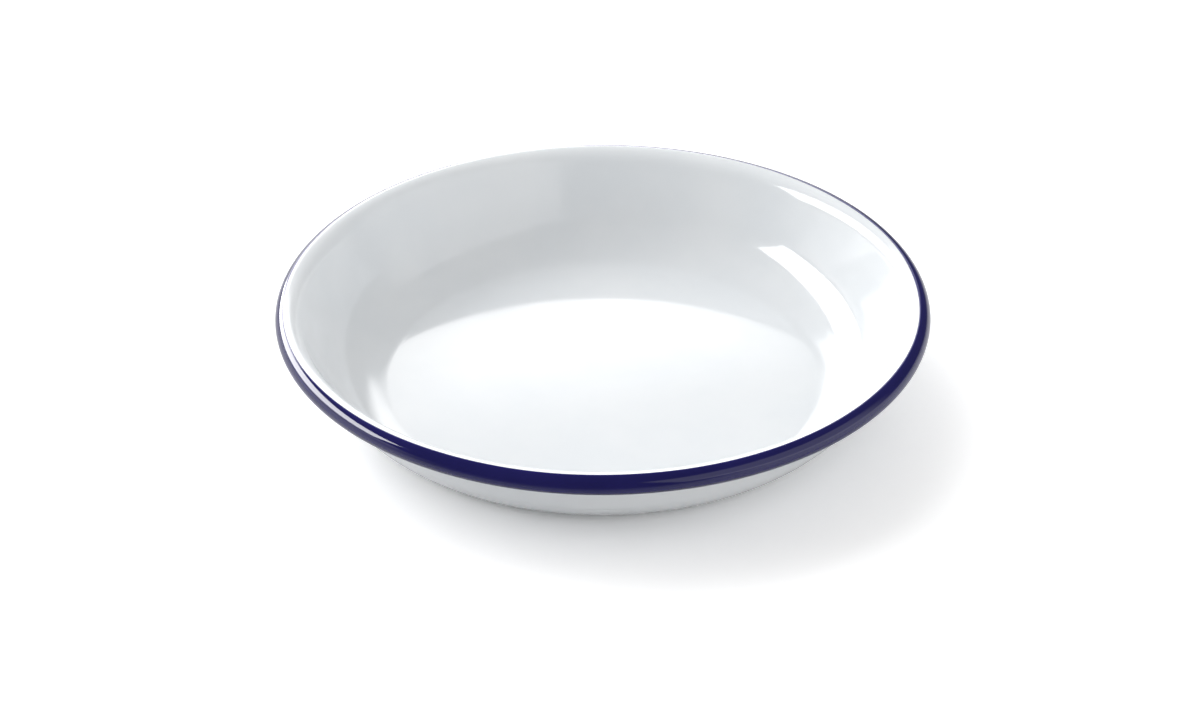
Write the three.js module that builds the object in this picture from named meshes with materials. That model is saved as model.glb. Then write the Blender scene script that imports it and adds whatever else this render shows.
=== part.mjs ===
// An enamelled soup plate: one pressed steel sheet with a hollow rolled rim, under its fired coats.
// Millimetres, +Z up, origin at the centre of the base's underside.
import * as THREE from "three";

const { degToRad } = THREE.MathUtils;

// Outer sizes of the finished plate, measured over the enamel
const RIM_DIAMETER = 220;
const PLATE_HEIGHT = 33;
const BEAD_DIAMETER = 7;

// The wall: the radius under its foot, its slope, and the wide curve on the food side that flares its top
const CORNER_RADIUS = 24;
const WALL_ANGLE = degToRad(64);
const FLARE_RADIUS = 16;

// The lip between flare and bead: the slope at which it takes over, and its tighter curve on the food side
const LIP_ANGLE = degToRad(46);
const LIP_RADIUS = 6;

// Thickness of the sheet and of each coat on one of its faces
const STEEL_THICKNESS = 0.6;
const GROUND_THICKNESS = 0.1;
const COVER_THICKNESS = 0.2;

// The bead: how far inside its crest its own curve begins, and the slit left where the sheet rolls back
const BEAD_START_ANGLE = degToRad(10);
const SEAM_GAP = 0.4;

// Faces round the plate, and the turn from one face to the next along each arc of its section
const SEGMENTS = 48;
const CORNER_STEP = degToRad(16);
const FLARE_STEP = degToRad(9);
const LIP_STEP = degToRad(18);
const BEAD_STEP = degToRad(30);

const quarter = Math.PI / 2;
const towards = (angle) => new THREE.Vector2(Math.cos(angle), Math.sin(angle));

// The section follows the middle of the sheet, half a finished wall in from each enamelled face.
const halfSteel = STEEL_THICKNESS / 2;
const groundFace = halfSteel + GROUND_THICKNESS;
const coverFace = groundFace + COVER_THICKNESS;
const cornerRadius = CORNER_RADIUS - coverFace;
const flareRadius = FLARE_RADIUS - coverFace;
const lipRadius = LIP_RADIUS - coverFace;
const beadRadius = BEAD_DIAMETER / 2 - coverFace;

// Directions out of an arc's centre where the straight wall, the flare, the lip and the bead meet
const wallTop = quarter + WALL_ANGLE;
const lipStart = quarter + LIP_ANGLE;
const beadStart = quarter + BEAD_START_ANGLE;

// From the rim inwards, each arc runs on from the last without a kink.
const beadCentre = new THREE.Vector2(
  (RIM_DIAMETER - BEAD_DIAMETER) / 2,
  PLATE_HEIGHT - BEAD_DIAMETER / 2,
);
const lipCentre = beadCentre.clone().addScaledVector(towards(beadStart), beadRadius - lipRadius);
const flareCentre = lipCentre.clone().addScaledVector(towards(lipStart), lipRadius - flareRadius);

// The straight wall comes down from the flare to the corner, whose arc ends flat on the ground.
const wallEnd = flareCentre.clone().addScaledVector(towards(wallTop), flareRadius);
const wallFoot = CORNER_RADIUS - cornerRadius * Math.cos(WALL_ANGLE);
const wallRun = (wallEnd.y - wallFoot) / Math.tan(WALL_ANGLE);
const flatRadius = wallEnd.x - wallRun - cornerRadius * Math.sin(WALL_ANGLE);
const cornerCentre = new THREE.Vector2(flatRadius, CORNER_RADIUS);

// The roll stops where its outer edge is a seam's width from the enamel under the flare.
const beadFace = BEAD_DIAMETER / 2;
const seamReach = FLARE_RADIUS - 2 * coverFace - SEAM_GAP;
const toBead = beadCentre.clone().sub(flareCentre);
const seamTurn = Math.acos(
  (seamReach ** 2 - toBead.lengthSq() - beadFace ** 2) / (2 * beadFace * toBead.length()),
);
const rollEnd = toBead.angle() + seamTurn - 2 * Math.PI;

// A place on the section: a point, and the direction out of the sheet on the side that holds the food.
const place = (x, y, normal) => ({ point: new THREE.Vector2(x, y), normal });

// Angles from the first stop to the last, through each stop between them, in steps of about the given turn
function sweep(stops, step) {
  const angles = [stops[0]];
  for (let i = 1; i < stops.length; i++) {
    const [from, to] = [stops[i - 1], stops[i]];
    const count = Math.max(1, Math.round(Math.abs(to - from) / step));
    for (let k = 1; k <= count; k++) angles.push(from + ((to - from) * k) / count);
  }
  return angles;
}

// Places along an arc; side is 1 where the food side faces away from the centre and -1 where it faces it.
function arc(centre, radius, angles, side) {
  return angles.map((angle) => {
    const direction = towards(angle);
    const point = centre.clone().addScaledVector(direction, radius);
    return place(point.x, point.y, direction.multiplyScalar(side));
  });
}

const floor = [place(0, coverFace, towards(quarter))];
const cornerTurn = sweep([-quarter, WALL_ANGLE - quarter], CORNER_STEP);
const corner = arc(cornerCentre, cornerRadius, cornerTurn, -1);
const flare = arc(flareCentre, flareRadius, sweep([wallTop, lipStart], FLARE_STEP), 1);
const lip = arc(lipCentre, lipRadius, sweep([lipStart, beadStart], LIP_STEP), 1);

// The rim's facets stop at its crest, its widest and its lowest point, so that they reach the full size.
const crest = arc(beadCentre, beadRadius, sweep([beadStart, quarter], BEAD_STEP), 1);
const roll = arc(beadCentre, beadRadius, sweep([quarter, 0, -quarter, rollEnd], BEAD_STEP), 1);

// The white covers the food side up to the crest, where the blue takes over for the rest of the roll.
// The coats of the underside end where the flare does, just inside the seam.
const underside = [...floor, ...corner, ...flare];
const foodSide = [...underside, ...lip.slice(1), ...crest.slice(1)];
const sheet = [...foodSide, ...roll.slice(1)];

const offset = (places, distance) =>
  places.map(({ point, normal }) => point.clone().addScaledVector(normal, distance));

// A body of revolution between two distances from the middle of the sheet, over a stretch of its section.
// Its outline ends on the axis, or closes on itself where the stretch starts away from the axis.
function layer(name, places, low, high, material) {
  const below = offset(places, low);
  const above = offset(places, high).reverse();
  const outline = [...below, ...above];
  if (below[0].x > 0) outline.push(below[0].clone());
  const geometry = new THREE.LatheGeometry(outline, SEGMENTS).rotateX(quarter);
  const mesh = new THREE.Mesh(geometry, material);
  mesh.name = name;
  return mesh;
}

const steel = new THREE.MeshStandardMaterial({ color: 0x7d8085, roughness: 0.45, metalness: 1 });
const groundEnamel = new THREE.MeshStandardMaterial({ color: 0x1c2029, roughness: 0.35, metalness: 0 });
const whiteEnamel = new THREE.MeshStandardMaterial({ color: 0xf1f4f3, roughness: 0.1, metalness: 0 });
const blueEnamel = new THREE.MeshStandardMaterial({ color: 0x1b184a, roughness: 0.1, metalness: 0 });

const plate = new THREE.Group();
plate.add(
  layer("steel_pressing", sheet, -halfSteel, halfSteel, steel),
  layer("inner_ground_coat", sheet, halfSteel, groundFace, groundEnamel),
  layer("outer_ground_coat", underside, -groundFace, -halfSteel, groundEnamel),
  layer("inner_white_enamel", foodSide, groundFace, coverFace, whiteEnamel),
  layer("outer_white_enamel", underside, -coverFace, -groundFace, whiteEnamel),
  layer("blue_rim_enamel", roll, groundFace, coverFace, blueEnamel),
);

export default plate;
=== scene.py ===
"""A white enamelled soup plate with a dark blue rolled rim, dressed over its solids on a plain stage."""

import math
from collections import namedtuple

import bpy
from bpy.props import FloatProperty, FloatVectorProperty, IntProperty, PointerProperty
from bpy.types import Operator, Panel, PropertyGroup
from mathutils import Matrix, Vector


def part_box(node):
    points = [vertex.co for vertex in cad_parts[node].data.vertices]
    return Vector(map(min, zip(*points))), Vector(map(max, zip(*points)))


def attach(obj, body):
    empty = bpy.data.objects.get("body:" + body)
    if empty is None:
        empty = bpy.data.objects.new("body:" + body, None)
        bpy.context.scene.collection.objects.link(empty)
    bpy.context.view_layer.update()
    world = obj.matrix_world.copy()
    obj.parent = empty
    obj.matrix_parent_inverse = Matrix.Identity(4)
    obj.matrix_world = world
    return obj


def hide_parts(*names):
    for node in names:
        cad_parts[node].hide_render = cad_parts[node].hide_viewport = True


bl_info = {
    "name": "Enamel Soup Plate",
    "version": (1, 0, 0),
    "blender": (4, 5, 0),
    "location": "View3D > Sidebar > Soup Plate",
    "description": "Builds an enamelled steel soup plate, coat by coat, and a studio stage to see it on",
    "category": "Add Mesh",
}

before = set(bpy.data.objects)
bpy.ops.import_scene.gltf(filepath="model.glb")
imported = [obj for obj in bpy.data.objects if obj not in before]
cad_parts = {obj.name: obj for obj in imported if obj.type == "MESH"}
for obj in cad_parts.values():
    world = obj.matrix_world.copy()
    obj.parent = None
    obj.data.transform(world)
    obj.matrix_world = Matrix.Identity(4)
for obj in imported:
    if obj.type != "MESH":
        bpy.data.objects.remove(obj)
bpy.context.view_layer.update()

# Outer sizes of the finished plate and the thickness of its sheet and coats, from the frame
RIM_LOW, RIM_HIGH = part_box("blue_rim_enamel")
GROUND_LOW, GROUND_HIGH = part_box("inner_ground_coat")
STEEL_LOW, STEEL_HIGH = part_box("steel_pressing")
RIM_DIAMETER = RIM_HIGH.x - RIM_LOW.x
PLATE_HEIGHT = RIM_HIGH.z
BEAD_DIAMETER = RIM_HIGH.z - RIM_LOW.z
COVER_THICKNESS = RIM_HIGH.x - GROUND_HIGH.x
GROUND_THICKNESS = GROUND_HIGH.x - STEEL_HIGH.x
STEEL_THICKNESS = GROUND_LOW.z - STEEL_LOW.z

QUARTER = math.pi / 2
FULL_TURN = 2 * math.pi

# Rings of the flat floor, as shares of its radius: the last keeps the bend of the corner off the floor
FLOOR_RINGS = (0, 0.25, 0.5, 0.75, 0.94, 0.995)

# Faces across the white and the blue coat on the rim, the same all round while the edge between them wanders
WHITE_RIM_FACES = 20
BLUE_RIM_FACES = 72

# Faces round the half round end of a coat, and the bend from which an edge stays sharp
END_FACES = 6
SHARP_BEND = math.radians(50)

# Waves of the dipped edge of the blue: share of its wander, waves round the plate, and phase
BLUE_WAVES = (
    (1.02, 1, 1.9), (0.065, 2, 0.66), (0.06, 3, 2.63),
    (0.13, 4, 3.71), (0.09, 9, 1.35), (0.06, 12, 0.91))

# How far in from its edge the blue stands highest, and how far in it has its full depth
SWELL_AT = 0.0003
FULL_DEPTH_AT = 0.0006

# Noise detail of a fired coat's ripples and of the slow drifts in its thickness, how many drifts there are
# for each ripple, and the range of noise that they span
RIPPLE_DETAIL = 1.0
DRIFT_DETAIL = 3.0
DRIFTS_PER_RIPPLE = 0.6
DRIFT_SPAN = (0.3, 0.7)

# Optics of the cover coats, their roughness where they are thin and thick, as shares of the setting, and how
# much the drifts take from the depth of the blue
WHITE_IOR = 1.55
BLUE_IOR = 1.52
WHITE_GLOSS_SPREAD = (1.2, 0.8)
BLUE_GLOSS_SPREAD = (1.1, 0.7)
BLUE_DEPTH_DRIFT = 0.12

# The grip coat: how much lighter it gets where it is thin, and its roughness between bubbles and on them
GROUND_LIGHTER = 2.2
GROUND_ROUGHNESS = (0.3, 0.6)

# The bare sheet: how dark it gets, its roughness in and between the press marks, and their scale and waver
STEEL_DARKER = 0.7
STEEL_ROUGHNESS = (0.35, 0.5)
PRESS_RINGS = 900.0
PRESS_RINGS_WAVER = 4.0

# The stage's floor, just under the base so that the two don't share a plane, and where it fades out
FLOOR_FACES = 96
FLOOR_RADIUS = 1.2
FLOOR_HEIGHT = -0.00005
FLOOR_FADE = (0.4, 0.9)
FLOOR_ROUGHNESS = 0.9

# The mirrored horizon: how high it reaches and where it goes dark in front
HORIZON_RISE = (0.03, 0.15)
HORIZON_FRONT = (-0.7, -0.3)

# How far a place at the right counts as one at the back, for the painted light and shade on the mirrored
# table and for the horizon
RIGHT_LIFT = 0.7

# Width of the camera's sensor in millimetres
SENSOR_WIDTH = 36.0

# Sockets of the Mix node's colours, which share their names with those of its other kinds
MIX_FIRST, MIX_SECOND, MIX_RESULT = 6, 7, 2

# A lamp panel: the stage's setting for its brightness, its direction and the angles that it fills, in degrees
# seen from the plate, a roll that lifts its left side, and the shares over which it fades at its left, right,
# lower and upper edge. It may light dull surfaces, or show in glossy ones, or both.
Lamp = namedtuple(
    "Lamp", "name brightness azimuth elevation width height roll soft distance lights mirrored",
    defaults=(0, (0, 0, 0, 0), 3.0, True, True))

# Panels that only show in the enamel stand nearer, since a mirrored ray meets the first panel on its way.
LAMPS = (
    Lamp("left_strip", "strip", -62.5, 28.3, 76, 21, roll=3, mirrored=False),
    Lamp("left_gleam", "gleam", -62, 27.6, 75, 24.2, roll=6.5,
         soft=(0.04, 0.04, 0, 0), distance=2.8, lights=False),
    Lamp("left_card", "card", -72, 5.5, 84, 14, roll=3,
         soft=(0.1, 0.3, 0.5, 0), distance=2.6, lights=False),
    Lamp("high_softbox", "high", -45, 50, 50, 26, mirrored=False),
    Lamp("back_panel", "back", -7, 17.05, 42, 34.1, roll=6, soft=(0, 0.26, 0.3, 0.08)),
    Lamp("back_wing", "back", -16.3, 34.7, 24.4, 6.8,
         soft=(0.1, 0.3, 0.4, 0.3), distance=2.8, lights=False),
    Lamp("fill_panel", "fill", 114.5, 24, 87, 52, soft=(0.3, 0, 0, 0)),
)


class PlateShape(PropertyGroup):
    """Sizes of the plate's section"""

    rim_diameter: FloatProperty(
        name="Rim Diameter", description="Across the rolled rim, over the enamel",
        default=RIM_DIAMETER, unit="LENGTH")
    height: FloatProperty(
        name="Height", description="From the ground to the crest of the rim",
        default=PLATE_HEIGHT, unit="LENGTH")
    bead_diameter: FloatProperty(
        name="Bead Diameter", description="Across the rolled bead, over the enamel",
        default=BEAD_DIAMETER, unit="LENGTH")
    corner_radius: FloatProperty(
        name="Corner Radius", description="Under the corner between base and wall",
        default=0.024, unit="LENGTH")
    wall_angle: FloatProperty(
        name="Wall Angle", description="Slope of the straight wall above the ground",
        default=math.radians(64), subtype="ANGLE")
    flare_radius: FloatProperty(
        name="Flare Radius", description="On the food side, where the top of the wall flares",
        default=0.009, unit="LENGTH")
    lip_angle: FloatProperty(
        name="Lip Angle", description="Slope at which the lip takes over from the flare",
        default=math.radians(50), subtype="ANGLE")
    lip_radius: FloatProperty(
        name="Lip Radius", description="On the food side, between the flare and the bead",
        default=0.006, unit="LENGTH")
    bead_start: FloatProperty(
        name="Bead Start", description="How far inside its crest the bead's own curve begins",
        default=math.radians(10), subtype="ANGLE")
    seam_gap: FloatProperty(
        name="Seam Gap", description="Slit left where the sheet rolls back under the flare",
        default=0.0004, unit="LENGTH")
    steel_thickness: FloatProperty(
        name="Steel Thickness", description="Of the pressed sheet",
        default=STEEL_THICKNESS, unit="LENGTH")
    ground_thickness: FloatProperty(
        name="Ground Coat", description="Thickness of the dark grip enamel on one face",
        default=GROUND_THICKNESS, unit="LENGTH")
    cover_thickness: FloatProperty(
        name="Cover Coat", description="Thickness of the white or blue enamel on one face",
        default=COVER_THICKNESS, unit="LENGTH")
    blue_start: FloatProperty(
        name="Blue Start", description="How far inside the crest the blue begins on the whole",
        default=math.radians(-2.7), subtype="ANGLE")
    blue_wander: FloatProperty(
        name="Blue Wander", description="How far the edge of the dipped blue wanders to each side",
        default=math.radians(9), subtype="ANGLE")
    blue_swell: FloatProperty(
        name="Blue Swell", description="How far the blue stands up along its edge",
        default=0.00003, unit="LENGTH")
    around: IntProperty(
        name="Faces Around", description="Faces round the plate", default=256, min=32)
    turn: FloatProperty(
        name="Turn per Face", description="Turn from one face to the next along the section",
        default=math.radians(4), subtype="ANGLE")


class PlateFinish(PropertyGroup):
    """Colours and gloss of the plate's metal and enamel"""

    white: FloatVectorProperty(
        name="White Enamel", description="Fired white cover coat",
        default=(0.745, 0.766, 0.782), subtype="COLOR", size=3, min=0, max=1)
    white_thin: FloatVectorProperty(
        name="Thin White", description="White cover coat where it is a little thinner",
        default=(0.709, 0.735, 0.756), subtype="COLOR", size=3, min=0, max=1)
    blue: FloatVectorProperty(
        name="Blue Enamel", description="Fired dark blue edging",
        default=(0.0088, 0.0078, 0.074), subtype="COLOR", size=3, min=0, max=1)
    blue_thin: FloatVectorProperty(
        name="Thin Blue", description="Blue edging where it runs out over the white",
        default=(0.030, 0.026, 0.17), subtype="COLOR", size=3, min=0, max=1)
    ground: FloatVectorProperty(
        name="Ground Enamel", description="Dark grip coat under the cover coats",
        default=(0.012, 0.015, 0.022), subtype="COLOR", size=3, min=0, max=1)
    steel: FloatVectorProperty(
        name="Steel", description="Bare pickled sheet",
        default=(0.46, 0.47, 0.49), subtype="COLOR", size=3, min=0, max=1)
    gloss: FloatProperty(
        name="Enamel Roughness", description="Of the cover coats, low is glossy",
        default=0.08, subtype="FACTOR", min=0, max=1)


class PlateStage(PropertyGroup):
    """Camera and studio light"""

    camera_distance: FloatProperty(
        name="Camera Distance", description="From the centre of the base",
        default=1.2, unit="LENGTH")
    camera_elevation: FloatProperty(
        name="Camera Elevation", description="Above the ground, seen from the plate",
        default=math.radians(32.37), subtype="ANGLE")
    camera_roll: FloatProperty(
        name="Camera Roll", description="Turn about the line of sight",
        default=math.radians(-0.23), subtype="ANGLE")
    camera_target: FloatVectorProperty(
        name="Camera Target", description="Point in the middle of the picture",
        default=(-0.0010, 0.0039, 0.0061), subtype="XYZ", unit="LENGTH", size=3)
    lens: FloatProperty(
        name="Lens", description="Focal length in millimetres on the sensor's width",
        default=105.57, unit="CAMERA")
    strip: FloatProperty(
        name="Strip Light", description="Brightness of the long softbox at the left, where 1 is white",
        default=4.4, min=0)
    gleam: FloatProperty(
        name="Strip Gleam", description="Brightness of the long softbox where the enamel mirrors it",
        default=12.0, min=0)
    card: FloatProperty(
        name="Card", description="Brightness of the white card under the strip, as the enamel mirrors it",
        default=1.0, min=0)
    high: FloatProperty(
        name="High Light", description="Brightness of the softbox above the left back, where 1 is white",
        default=1.9, min=0)
    back: FloatProperty(
        name="Back Light", description="Brightness of the panel behind the plate, where 1 is white",
        default=3.7, min=0)
    fill: FloatProperty(
        name="Fill Light", description="Brightness of the panel at the right, where 1 is white",
        default=0.81, min=0)
    ambient: FloatProperty(
        name="Ambient", description="Brightness of the room all round, where 1 is white",
        default=0.62, min=0)
    dark_room: FloatProperty(
        name="Mirrored Room", description="Brightness of the room where the enamel mirrors it",
        default=0.1, min=0)
    table: FloatProperty(
        name="Table", description="Share of light that the table throws back",
        default=0.84, min=0, max=1)
    table_gain: FloatProperty(
        name="Table Gain", description="How much whiter the table looks to the camera",
        default=1.5, min=1)
    # Brightness of the painted light on the table where the enamel mirrors it, behind the plate and at its
    # right
    table_mirrored: FloatProperty(
        name="Mirrored Table", description="How bright the table looks in the enamel, where 1 is as it is",
        default=1.1, min=0)
    # Where the painted shade on the mirrored table ends in front of the plate and its painted light begins
    table_front: FloatVectorProperty(
        name="Table Front", description="Where the mirrored table is dark in front, and where it is lit",
        default=(-0.2, -0.06), unit="LENGTH", size=2)


# Section of the plate

# A place on the section: a point, and the direction out of the sheet on the side that holds the food
Place = namedtuple("Place", "point normal")


def towards(angle):
    """Unit direction in the section, as radius and height"""
    return Vector((math.cos(angle), math.sin(angle)))


def even_steps(start, end, count):
    """Angles from start to end in a set count of even steps"""
    return [start + (end - start) * i / count for i in range(count + 1)]


def sweep(start, end, turn):
    """Angles from start to end, about a turn apart"""
    return even_steps(start, end, max(1, math.ceil(abs(end - start) / turn)))


def on_arc(centre, radius, angle, side=1):
    """Place on an arc; side is 1 where the food side faces away from the centre, -1 where it faces it"""
    direction = towards(angle)
    return Place(centre + direction * radius, direction * side)


class Section:
    """The plate cut in half: the middle of its sheet from the axis to the end of the roll"""

    def __init__(self, shape):
        self.shape = shape
        self.half_steel = shape.steel_thickness / 2
        self.ground_face = self.half_steel + shape.ground_thickness
        self.cover_face = self.ground_face + shape.cover_thickness

        # From the rim inwards, each arc runs on from the last without a kink.
        self.bead_face = shape.bead_diameter / 2
        self.bead_radius = self.bead_face - self.cover_face
        self.bead_start = QUARTER + shape.bead_start
        self.bead_centre = Vector((
            shape.rim_diameter / 2 - self.bead_face,
            shape.height - self.bead_face))
        self.lip_radius = shape.lip_radius - self.cover_face
        self.lip_start = QUARTER + shape.lip_angle
        self.lip_centre = self.bead_centre + towards(self.bead_start) * (self.bead_radius - self.lip_radius)
        self.flare_radius = shape.flare_radius - self.cover_face
        self.flare_centre = self.lip_centre + towards(self.lip_start) * (self.lip_radius - self.flare_radius)

        self.roll_end = self.find_roll_end()
        self.underside = self.trace_underside()

    def find_roll_end(self):
        """Direction out of the bead's centre where the roll stops, a seam's width from the flare's enamel"""
        reach = self.shape.flare_radius - 2 * self.cover_face - self.shape.seam_gap
        to_bead = self.bead_centre - self.flare_centre
        turn = math.acos(
            (reach ** 2 - to_bead.length_squared - self.bead_face ** 2)
            / (2 * self.bead_face * to_bead.length))
        return math.atan2(to_bead.y, to_bead.x) + turn - FULL_TURN

    def trace_underside(self):
        """Places from the axis up to the end of the flare"""
        shape = self.shape
        corner_radius = shape.corner_radius - self.cover_face
        wall_top = QUARTER + shape.wall_angle
        wall_end = self.flare_centre + towards(wall_top) * self.flare_radius
        wall_foot = shape.corner_radius - corner_radius * math.cos(shape.wall_angle)
        wall_run = (wall_end.y - wall_foot) / math.tan(shape.wall_angle)
        flat_radius = wall_end.x - wall_run - corner_radius * math.sin(shape.wall_angle)
        corner_centre = Vector((flat_radius, shape.corner_radius))

        up = towards(QUARTER)
        floor = [Place(Vector((flat_radius * share, self.cover_face)), up) for share in FLOOR_RINGS]
        corner_turn = sweep(-QUARTER, shape.wall_angle - QUARTER, shape.turn)
        corner = [on_arc(corner_centre, corner_radius, angle, -1) for angle in corner_turn]
        flare_turn = sweep(wall_top, self.lip_start, shape.turn)
        flare = [on_arc(self.flare_centre, self.flare_radius, angle) for angle in flare_turn]
        return floor + corner + flare

    def rim(self, angle):
        """Place on the lip or the bead where the sheet faces an angle above the ground"""
        if angle > self.bead_start:
            return on_arc(self.lip_centre, self.lip_radius, angle)
        return on_arc(self.bead_centre, self.bead_radius, angle)

    def sheet(self):
        """Places of the whole sheet"""
        turns = sweep(self.lip_start, self.bead_start, self.shape.turn)
        turns += sweep(self.bead_start, self.roll_end, self.shape.turn)[1:]
        return self.underside + [self.rim(angle) for angle in turns[1:]]

    def blue_edge(self, azimuth):
        """Direction out of the bead's centre at which the blue begins, which wanders as a dipped edge does"""
        wander = sum(share * math.sin(count * azimuth + phase) for share, count, phase in BLUE_WAVES)
        return QUARTER + self.shape.blue_start + self.shape.blue_wander * wander

    def white_food_side(self, azimuth):
        """Places of the white coat on the food side, up to the edge of the blue"""
        turns = even_steps(self.lip_start, self.blue_edge(azimuth), WHITE_RIM_FACES)
        return self.underside + [self.rim(angle) for angle in turns[1:]]

    def blue_places(self, azimuth):
        """Places of the blue edging, from its edge over the crest to the end of the roll"""
        turns = even_steps(self.blue_edge(azimuth), self.roll_end, BLUE_RIM_FACES)
        return [self.rim(angle) for angle in turns]


# Outlines of the coats and the bodies turned from them

def offset(places, distance):
    """Points at a distance from the middle of the sheet"""
    return [place.point + place.normal * distance for place in places]


def rounded_end(places, low, high):
    """Points of a half round end on a stretch of places, between the low and the high face of a coat"""
    last = places[-1]
    along = (last.point - places[-2].point).normalized()
    middle = last.point + last.normal * ((low + high) / 2)
    radius = (high - low) / 2
    points = []
    for i in range(1, END_FACES):
        angle = math.pi * i / END_FACES - QUARTER
        points.append(middle + along * (math.cos(angle) * radius) + last.normal * (math.sin(angle) * radius))
    return points


def coat_outline(places, low, high):
    """Outline of a coat that starts on the axis and has a rounded end"""
    return offset(places, low) + rounded_end(places, low, high) + offset(places, high)[::-1]


def white_outline(section, azimuth):
    """Outline of the white coat on the food side, which ends square against the blue"""
    places = section.white_food_side(azimuth)
    return offset(places, section.ground_face) + offset(places, section.cover_face)[::-1]


def blue_outline(section, azimuth):
    """Outline of the blue edging, which swells along its edge and has a rounded end at the seam"""
    places = section.blue_places(azimuth)
    run = 0
    top = []
    for before, place in zip(places[:1] + places, places):
        run += (place.point - before.point).length
        reach = run / SWELL_AT
        swell = section.shape.blue_swell * reach * math.exp(1 - reach)
        top.append(place.point + place.normal * (section.cover_face + swell))
    end = rounded_end(places, section.ground_face, section.cover_face)
    return offset(places, section.ground_face) + end + top[::-1]


def turned_piece(name, outline_at, around):
    """A closed body of revolution; outline_at gives its outline at an azimuth, always with as many points.
    The outline starts and ends on the axis, or closes on itself where it lies away from the axis."""
    outlines = [outline_at(FULL_TURN * k / around) for k in range(around)]
    count = len(outlines[0])
    closed = outlines[0][0].x > 0
    vertices, rings = [], []
    for j in range(count):
        on_axis = not closed and j in (0, count - 1)
        rings.append([])
        for k in range(1 if on_axis else around):
            azimuth = FULL_TURN * k / around
            radius, height = outlines[k][j]
            rings[j].append(len(vertices))
            vertices.append((radius * math.cos(azimuth), radius * math.sin(azimuth), height))
    faces = []
    for j in range(count if closed else count - 1):
        low, high = rings[j], rings[(j + 1) % count]
        for k in range(around):
            following = (k + 1) % around
            if len(low) == 1:
                faces.append((low[0], high[following], high[k]))
            elif len(high) == 1:
                faces.append((low[k], low[following], high[0]))
            else:
                faces.append((low[k], low[following], high[following], high[k]))
    mesh = bpy.data.meshes.new(name)
    mesh.from_pydata(vertices, [], faces)
    mesh.validate()
    mesh.polygons.foreach_set("use_smooth", [True] * len(mesh.polygons))
    mesh.set_sharp_from_angle(angle=SHARP_BEND)
    piece = bpy.data.objects.new(name, mesh)
    bpy.context.scene.collection.objects.link(piece)
    return piece


def mark_depth(mesh, section):
    """Writes how deep the blue is at each point: 0 on its edge over the white, 1 a little way in"""
    depth = mesh.attributes.new("blue_depth", "FLOAT", "POINT")
    for vertex, value in zip(mesh.vertices, depth.data):
        azimuth = math.atan2(vertex.co.y, vertex.co.x)
        arm = Vector((vertex.co.xy.length, vertex.co.z)) - section.bead_centre
        turn = (section.blue_edge(azimuth) - math.atan2(arm.y, arm.x)) % FULL_TURN
        value.value = min(1.0, turn * section.bead_face / FULL_DEPTH_AT)


def dress(piece, material, node):
    """Gives a piece its material and its place in the frame"""
    piece.data.materials.append(material)
    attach(piece, "root")
    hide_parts(node)


# Shader nodes

def add(tree, kind, **settings):
    """A new node with some of its own settings"""
    node = tree.nodes.new(kind)
    for setting, value in settings.items():
        setattr(node, setting, value)
    return node


def link(tree, source, target):
    """Joins two sockets"""
    tree.links.new(source, target)


def math_node(tree, operation, first, second):
    """Result of an operation on two sockets or numbers"""
    node = add(tree, "ShaderNodeMath", operation=operation)
    for socket, value in zip(node.inputs, (first, second)):
        if isinstance(value, (int, float)):
            socket.default_value = value
        else:
            link(tree, value, socket)
    return node.outputs[0]


def mix_colour(tree, factor, first, second):
    """Colour between two, each a socket or a colour"""
    node = add(tree, "ShaderNodeMix", data_type="RGBA")
    link(tree, factor, node.inputs["Factor"])
    for index, value in ((MIX_FIRST, first), (MIX_SECOND, second)):
        if isinstance(value, bpy.types.NodeSocket):
            link(tree, value, node.inputs[index])
        else:
            node.inputs[index].default_value = (*value, 1)
    return node.outputs[MIX_RESULT]


def map_range(tree, value, from_range, to_range):
    """A socket's value, carried smoothly from one range to another"""
    node = add(tree, "ShaderNodeMapRange", interpolation_type="SMOOTHSTEP")
    link(tree, value, node.inputs["Value"])
    node.inputs["From Min"].default_value, node.inputs["From Max"].default_value = from_range
    node.inputs["To Min"].default_value, node.inputs["To Max"].default_value = to_range
    return node.outputs["Result"]


def new_group(name, inputs, outputs):
    """A shader node group with number sockets, and its input and output nodes"""
    group = bpy.data.node_groups.new(name, "ShaderNodeTree")
    for label, value in inputs.items():
        socket = group.interface.new_socket(label, in_out="INPUT", socket_type="NodeSocketFloat")
        socket.default_value = value
    for label in outputs:
        group.interface.new_socket(label, in_out="OUTPUT", socket_type="NodeSocketFloat")
    return group, add(group, "NodeGroupInput"), add(group, "NodeGroupOutput")


def fired_surface_group():
    """Height and tone of molten glass that froze: long ripples, fine orange peel, slow drifts in thickness"""
    name = "Fired Surface"
    if name in bpy.data.node_groups:
        return bpy.data.node_groups[name]
    group, start, end = new_group(
        name,
        {"Ripples per Metre": 45.0, "Ripple Depth": 4e-6, "Peel per Metre": 520.0, "Peel Depth": 3e-7},
        ("Height", "Tone"))
    place = add(group, "ShaderNodeTexCoord").outputs["Object"]

    def noise(per_metre, detail):
        node = add(group, "ShaderNodeTexNoise")
        node.inputs["Detail"].default_value = detail
        link(group, place, node.inputs["Vector"])
        link(group, per_metre, node.inputs["Scale"])
        return node.outputs["Fac"]

    ripple = noise(start.outputs["Ripples per Metre"], RIPPLE_DETAIL)
    peel = noise(start.outputs["Peel per Metre"], RIPPLE_DETAIL)
    deep = math_node(group, "MULTIPLY", ripple, start.outputs["Ripple Depth"])
    fine = math_node(group, "MULTIPLY", peel, start.outputs["Peel Depth"])
    link(group, math_node(group, "ADD", deep, fine), end.inputs["Height"])
    drifts = math_node(group, "MULTIPLY", start.outputs["Ripples per Metre"], DRIFTS_PER_RIPPLE)
    tone = map_range(group, noise(drifts, DRIFT_DETAIL), DRIFT_SPAN, (0, 1))
    link(group, tone, end.inputs["Tone"])
    return group


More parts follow.
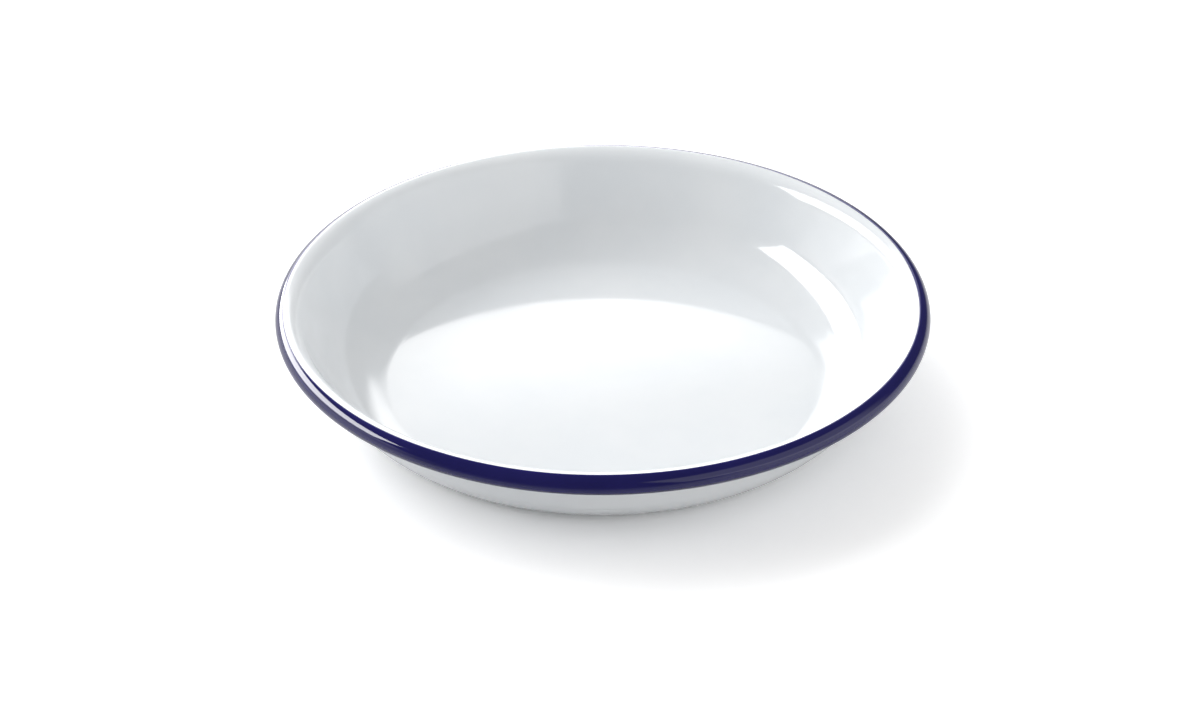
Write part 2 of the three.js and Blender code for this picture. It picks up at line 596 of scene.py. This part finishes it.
def kiln_specks_group():
    """Mask of rare tiny specks that the kiln leaves in enamel"""
    name = "Kiln Specks"
    if name in bpy.data.node_groups:
        return bpy.data.node_groups[name]
    group, start, end = new_group(
        name, {"Places per Metre": 90.0, "Share of Places": 0.03, "Speck Radius": 0.00014}, ("Mask",))
    cells = add(group, "ShaderNodeTexVoronoi")
    link(group, add(group, "ShaderNodeTexCoord").outputs["Object"], cells.inputs["Vector"])
    link(group, start.outputs["Places per Metre"], cells.inputs["Scale"])
    pick = add(group, "ShaderNodeSeparateColor")
    link(group, cells.outputs["Color"], pick.inputs["Color"])
    chosen = math_node(group, "LESS_THAN", pick.outputs["Red"], start.outputs["Share of Places"])
    reach = math_node(group, "MULTIPLY", start.outputs["Speck Radius"], start.outputs["Places per Metre"])
    near = math_node(group, "LESS_THAN", cells.outputs["Distance"], reach)
    link(group, math_node(group, "MULTIPLY", chosen, near), end.inputs["Mask"])
    return group


def group_node(tree, group, **values):
    """A group placed in a material, with the values that differ there"""
    node = add(tree, "ShaderNodeGroup", node_tree=group)
    for label, value in values.items():
        node.inputs[label.replace("_", " ")].default_value = value
    return node


# Materials

def new_material(name):
    """A new material with a Principled shader, its node tree and that shader"""
    material = bpy.data.materials.new(name)
    material.use_nodes = True
    return material, material.node_tree, material.node_tree.nodes["Principled BSDF"]


def raise_surface(tree, shader, height):
    """Turns a height in metres into the shader's normal"""
    bump = add(tree, "ShaderNodeBump")
    bump.inputs["Strength"].default_value = 1.0
    bump.inputs["Distance"].default_value = 1.0
    link(tree, height, bump.inputs["Height"])
    link(tree, bump.outputs["Normal"], shader.inputs["Normal"])


def set_gloss(tree, shader, tone, gloss, spread):
    """Makes a cover coat a little rougher where it is thin and smoother where it is thick"""
    roughness = map_range(tree, tone, (0, 1), tuple(gloss * share for share in spread))
    link(tree, roughness, shader.inputs["Roughness"])


def white_enamel(finish):
    """Glossy white cover coat, a little cooler where it is thin, with a rare speck"""
    material, tree, shader = new_material("White Enamel")
    surface = group_node(tree, fired_surface_group())
    specks = group_node(tree, kiln_specks_group())
    tone = mix_colour(tree, surface.outputs["Tone"], finish.white_thin, finish.white)
    link(tree, mix_colour(tree, specks.outputs["Mask"], tone, finish.ground), shader.inputs["Base Color"])
    set_gloss(tree, shader, surface.outputs["Tone"], finish.gloss, WHITE_GLOSS_SPREAD)
    shader.inputs["IOR"].default_value = WHITE_IOR
    raise_surface(tree, shader, surface.outputs["Height"])
    return material


def blue_enamel(finish):
    """Glossy dark blue edging, lighter and more violet where it runs out over the white"""
    material, tree, shader = new_material("Blue Enamel")
    surface = group_node(
        tree, fired_surface_group(), Ripples_per_Metre=70.0, Ripple_Depth=3e-6, Peel_per_Metre=600.0)
    edge = add(tree, "ShaderNodeAttribute", attribute_name="blue_depth").outputs["Fac"]
    drift = math_node(tree, "MULTIPLY", surface.outputs["Tone"], BLUE_DEPTH_DRIFT)
    depth = math_node(tree, "SUBTRACT", edge, drift)
    link(tree, mix_colour(tree, depth, finish.blue_thin, finish.blue), shader.inputs["Base Color"])
    set_gloss(tree, shader, surface.outputs["Tone"], finish.gloss, BLUE_GLOSS_SPREAD)
    shader.inputs["IOR"].default_value = BLUE_IOR
    raise_surface(tree, shader, surface.outputs["Height"])
    return material


def ground_enamel(finish):
    """Semi-gloss dark grip coat with fine bubbles"""
    material, tree, shader = new_material("Ground Enamel")
    surface = group_node(tree, fired_surface_group(), Peel_per_Metre=1500.0, Peel_Depth=4e-6)
    bubbles = group_node(
        tree, kiln_specks_group(), Places_per_Metre=900.0, Share_of_Places=0.35, Speck_Radius=0.0002)
    lighter = tuple(min(1, GROUND_LIGHTER * channel) for channel in finish.ground)
    link(tree, mix_colour(tree, surface.outputs["Tone"], finish.ground, lighter), shader.inputs["Base Color"])
    roughness = map_range(tree, bubbles.outputs["Mask"], (0, 1), GROUND_ROUGHNESS)
    link(tree, roughness, shader.inputs["Roughness"])
    raise_surface(tree, shader, surface.outputs["Height"])
    return material


def bare_steel(finish):
    """Pickled sheet with the faint circular marks of the press"""
    material, tree, shader = new_material("Bare Steel")
    surface = group_node(tree, fired_surface_group(), Peel_per_Metre=2500.0, Peel_Depth=2e-6)
    rings = add(tree, "ShaderNodeTexWave", wave_type="RINGS", rings_direction="Z")
    rings.inputs["Scale"].default_value = PRESS_RINGS
    rings.inputs["Distortion"].default_value = PRESS_RINGS_WAVER
    link(tree, add(tree, "ShaderNodeTexCoord").outputs["Object"], rings.inputs["Vector"])
    darker = tuple(STEEL_DARKER * channel for channel in finish.steel)
    link(tree, mix_colour(tree, surface.outputs["Tone"], darker, finish.steel), shader.inputs["Base Color"])
    roughness = map_range(tree, rings.outputs["Fac"], (0, 1), STEEL_ROUGHNESS)
    link(tree, roughness, shader.inputs["Roughness"])
    shader.inputs["Metallic"].default_value = 1.0
    raise_surface(tree, shader, surface.outputs["Height"])
    return material


# Stage

def soften(light, soft):
    """Fades a panel's light over shares of its size, at its left, right, lower and upper edge"""
    light.use_nodes = True
    tree = light.node_tree
    across = add(tree, "ShaderNodeSeparateXYZ")
    link(tree, add(tree, "ShaderNodeNewGeometry").outputs["Parametric"], across.inputs["Vector"])
    left, right, low, high = soft
    level = None
    for axis, share, span, levels in (
            ("X", left, (1 - left, 1), (1, 0)),
            ("X", right, (0, right), (0, 1)),
            ("Y", low, (0, low), (0, 1)),
            ("Y", high, (1 - high, 1), (1, 0))):
        if share:
            fade = map_range(tree, across.outputs[axis], span, levels)
            level = math_node(tree, "MULTIPLY", level, fade) if level else fade
    link(tree, level, tree.nodes["Emission"].inputs["Strength"])


def softbox(lamp, brightness):
    """A lamp panel that faces the plate"""
    azimuth, elevation = math.radians(lamp.azimuth), math.radians(lamp.elevation)
    direction = Vector((
        math.sin(azimuth) * math.cos(elevation),
        math.cos(azimuth) * math.cos(elevation),
        math.sin(elevation)))
    light = bpy.data.lights.new(lamp.name, "AREA")
    light.shape = "RECTANGLE"
    light.size = 2 * lamp.distance * math.tan(math.radians(lamp.width) / 2)
    light.size_y = 2 * lamp.distance * math.tan(math.radians(lamp.height) / 2)
    light.energy = math.pi * brightness * light.size * light.size_y
    if any(lamp.soft):
        soften(light, lamp.soft)
    panel = bpy.data.objects.new(lamp.name, light)
    panel.location = direction * lamp.distance
    roll = Matrix.Rotation(math.radians(lamp.roll), 3, "Z")
    panel.rotation_euler = (direction.to_track_quat("Z", "Y").to_matrix() @ roll).to_euler()
    panel.visible_camera = False
    panel.visible_diffuse = lamp.lights
    panel.visible_glossy = lamp.mirrored
    bpy.context.scene.collection.objects.link(panel)


def grey(level):
    """A colour with the same level in each channel"""
    return (level, level, level)


def lit_side(tree, across, dark_to_lit):
    """0 in front of the plate, where the room is dark, and 1 behind it and at its right, by the fill panel"""
    right = math_node(tree, "MAXIMUM", across.outputs["X"], 0.0)
    back = math_node(tree, "ADD", across.outputs["Y"], math_node(tree, "MULTIPLY", right, RIGHT_LIFT))
    return map_range(tree, back, dark_to_lit, (0, 1))


def studio_floor(stage):
    """A pale floor that fades into the background away from the plate. As the enamel mirrors it, its colour
    holds painted shade in front and painted light behind it and at its right
    """
    bpy.ops.mesh.primitive_circle_add(
        vertices=FLOOR_FACES, radius=FLOOR_RADIUS, fill_type="NGON", location=(0, 0, FLOOR_HEIGHT))
    floor = bpy.context.object
    floor.name = "studio_floor"
    material, tree, shader = new_material("Studio Floor")
    path = add(tree, "ShaderNodeLightPath")
    place = add(tree, "ShaderNodeTexCoord").outputs["Object"]
    across = add(tree, "ShaderNodeSeparateXYZ")
    link(tree, place, across.inputs["Vector"])
    # Painted shade and light: for glossy rays the floor's colour is dark in front of the plate and bright
    # behind it and at its right
    lit = lit_side(tree, across, stage.table_front)
    mirrored = mix_colour(tree, lit, grey(stage.dark_room), grey(stage.table_mirrored * stage.table))
    unseen = mix_colour(tree, path.outputs["Is Glossy Ray"], grey(stage.table), mirrored)
    seen = grey(stage.table_gain * stage.table)
    link(tree, mix_colour(tree, path.outputs["Is Camera Ray"], unseen, seen), shader.inputs["Base Color"])
    shader.inputs["Roughness"].default_value = FLOOR_ROUGHNESS
    shader.inputs["Specular IOR Level"].default_value = 0.0
    distance = add(tree, "ShaderNodeVectorMath", operation="LENGTH")
    link(tree, place, distance.inputs[0])
    link(tree, map_range(tree, distance.outputs["Value"], FLOOR_FADE, (1, 0)), shader.inputs["Alpha"])
    floor.data.materials.append(material)


def studio_world(stage):
    """A lit room that the enamel mirrors as dark above a white horizon, and the camera sees as white"""
    world = bpy.data.worlds.new("Studio")
    bpy.context.scene.world = world
    world.use_nodes = True
    tree = world.node_tree
    room = tree.nodes["Background"]
    room.inputs["Color"].default_value = (1, 1, 1, 1)
    room.inputs["Strength"].default_value = stage.ambient
    direction = add(tree, "ShaderNodeSeparateXYZ")
    link(tree, add(tree, "ShaderNodeTexCoord").outputs["Generated"], direction.inputs["Vector"])
    low = map_range(tree, direction.outputs["Z"], HORIZON_RISE, (1, 0))
    horizon = math_node(tree, "MULTIPLY", low, lit_side(tree, direction, HORIZON_FRONT))
    path = add(tree, "ShaderNodeLightPath")
    bright = math_node(tree, "MAXIMUM", horizon, path.outputs["Is Camera Ray"])
    backdrop = add(tree, "ShaderNodeBackground")
    link(tree, mix_colour(tree, bright, grey(stage.dark_room), grey(1)), backdrop.inputs["Color"])
    mirrored = math_node(tree, "MAXIMUM", path.outputs["Is Glossy Ray"], path.outputs["Is Transmission Ray"])
    shown = math_node(tree, "MAXIMUM", path.outputs["Is Camera Ray"], mirrored)
    choose = add(tree, "ShaderNodeMixShader")
    link(tree, shown, choose.inputs["Fac"])
    link(tree, room.outputs["Background"], choose.inputs[1])
    link(tree, backdrop.outputs["Background"], choose.inputs[2])
    link(tree, choose.outputs["Shader"], tree.nodes["World Output"].inputs["Surface"])


def photo_camera(stage):
    """The camera at the photograph's place"""
    camera = bpy.data.cameras.new("Camera")
    camera.lens = stage.lens
    camera.sensor_width = SENSOR_WIDTH
    view = bpy.data.objects.new("Camera", camera)
    view.location = stage.camera_distance * Vector((
        0, -math.cos(stage.camera_elevation), math.sin(stage.camera_elevation)))
    sight = Vector(stage.camera_target) - view.location
    roll = Matrix.Rotation(stage.camera_roll, 3, "Z")
    view.rotation_euler = (sight.to_track_quat("-Z", "Y").to_matrix() @ roll).to_euler()
    bpy.context.scene.collection.objects.link(view)
    bpy.context.scene.camera = view


# Operators, one for each piece or group of like pieces and one for the stage

class PLATE_OT_steel_pressing(Operator):
    """Turn the steel sheet with its hollow rolled rim"""

    bl_idname = "plate.steel_pressing"
    bl_label = "Steel Pressing"

    def execute(self, context):
        section = Section(context.scene.plate_shape)
        outline = coat_outline(section.sheet(), -section.half_steel, section.half_steel)
        piece = turned_piece("plate_steel", lambda azimuth: outline, section.shape.around)
        dress(piece, bare_steel(context.scene.plate_finish), "steel_pressing")
        return {"FINISHED"}


class PLATE_OT_ground_coats(Operator):
    """Turn the dark grip coats on both sides of the sheet"""

    bl_idname = "plate.ground_coats"
    bl_label = "Ground Coats"

    def execute(self, context):
        section = Section(context.scene.plate_shape)
        material = ground_enamel(context.scene.plate_finish)
        inner = coat_outline(section.sheet(), section.half_steel, section.ground_face)
        outer = coat_outline(section.underside, -section.ground_face, -section.half_steel)
        for name, outline, node in (
                ("plate_inner_ground", inner, "inner_ground_coat"),
                ("plate_outer_ground", outer, "outer_ground_coat")):
            piece = turned_piece(name, lambda azimuth, outline=outline: outline, section.shape.around)
            dress(piece, material, node)
        return {"FINISHED"}


class PLATE_OT_white_enamel(Operator):
    """Turn the white cover coats on both sides of the plate"""

    bl_idname = "plate.white_enamel"
    bl_label = "White Enamel"

    def execute(self, context):
        section = Section(context.scene.plate_shape)
        material = white_enamel(context.scene.plate_finish)
        outer = coat_outline(section.underside, -section.cover_face, -section.ground_face)
        for name, outline_at, node in (
                ("plate_inner_white", lambda azimuth: white_outline(section, azimuth), "inner_white_enamel"),
                ("plate_outer_white", lambda azimuth: outer, "outer_white_enamel")):
            piece = turned_piece(name, outline_at, section.shape.around)
            dress(piece, material, node)
        return {"FINISHED"}


class PLATE_OT_blue_rim(Operator):
    """Turn the dark blue edging round the bead"""

    bl_idname = "plate.blue_rim"
    bl_label = "Blue Rim"

    def execute(self, context):
        section = Section(context.scene.plate_shape)
        piece = turned_piece(
            "plate_blue_rim", lambda azimuth: blue_outline(section, azimuth), section.shape.around)
        mark_depth(piece.data, section)
        dress(piece, blue_enamel(context.scene.plate_finish), "blue_rim_enamel")
        return {"FINISHED"}


class PLATE_OT_stage(Operator):
    """Set up the floor, the lamps, the background and the camera"""

    bl_idname = "plate.stage"
    bl_label = "Studio Stage"

    def execute(self, context):
        stage = context.scene.plate_stage
        context.scene.view_settings.view_transform = "Standard"
        studio_floor(stage)
        studio_world(stage)
        for lamp in LAMPS:
            softbox(lamp, getattr(stage, lamp.brightness))
        photo_camera(stage)
        return {"FINISHED"}


class PLATE_PT_panel(Panel):
    """Lists the plate's pieces in the order in which they are built, and its settings"""

    bl_idname = "PLATE_PT_panel"
    bl_label = "Enamel Soup Plate"
    bl_space_type = "VIEW_3D"
    bl_region_type = "UI"
    bl_category = "Soup Plate"

    def draw(self, context):
        layout = self.layout
        for operator in OPERATORS:
            layout.operator(operator.bl_idname)
        for settings in (context.scene.plate_shape, context.scene.plate_finish, context.scene.plate_stage):
            box = layout.box()
            for setting in settings.__annotations__:
                box.prop(settings, setting)


OPERATORS = (
    PLATE_OT_steel_pressing,
    PLATE_OT_ground_coats,
    PLATE_OT_white_enamel,
    PLATE_OT_blue_rim,
    PLATE_OT_stage,
)
CLASSES = (PlateShape, PlateFinish, PlateStage, *OPERATORS, PLATE_PT_panel)


def register():
    """Makes the classes known and gives each scene the plate's settings"""
    for item in CLASSES:
        bpy.utils.register_class(item)
    bpy.types.Scene.plate_shape = PointerProperty(type=PlateShape)
    bpy.types.Scene.plate_finish = PointerProperty(type=PlateFinish)
    bpy.types.Scene.plate_stage = PointerProperty(type=PlateStage)


def unregister():
    """Takes the settings and the classes away again"""
    del bpy.types.Scene.plate_stage
    del bpy.types.Scene.plate_finish
    del bpy.types.Scene.plate_shape
    for item in reversed(CLASSES):
        bpy.utils.unregister_class(item)


def main():
    """Builds the plate coat by coat and then the stage"""
    register()
    bpy.ops.plate.steel_pressing()
    bpy.ops.plate.ground_coats()
    bpy.ops.plate.white_enamel()
    bpy.ops.plate.blue_rim()
    bpy.ops.plate.stage()


if __name__ == "__main__":
    main()
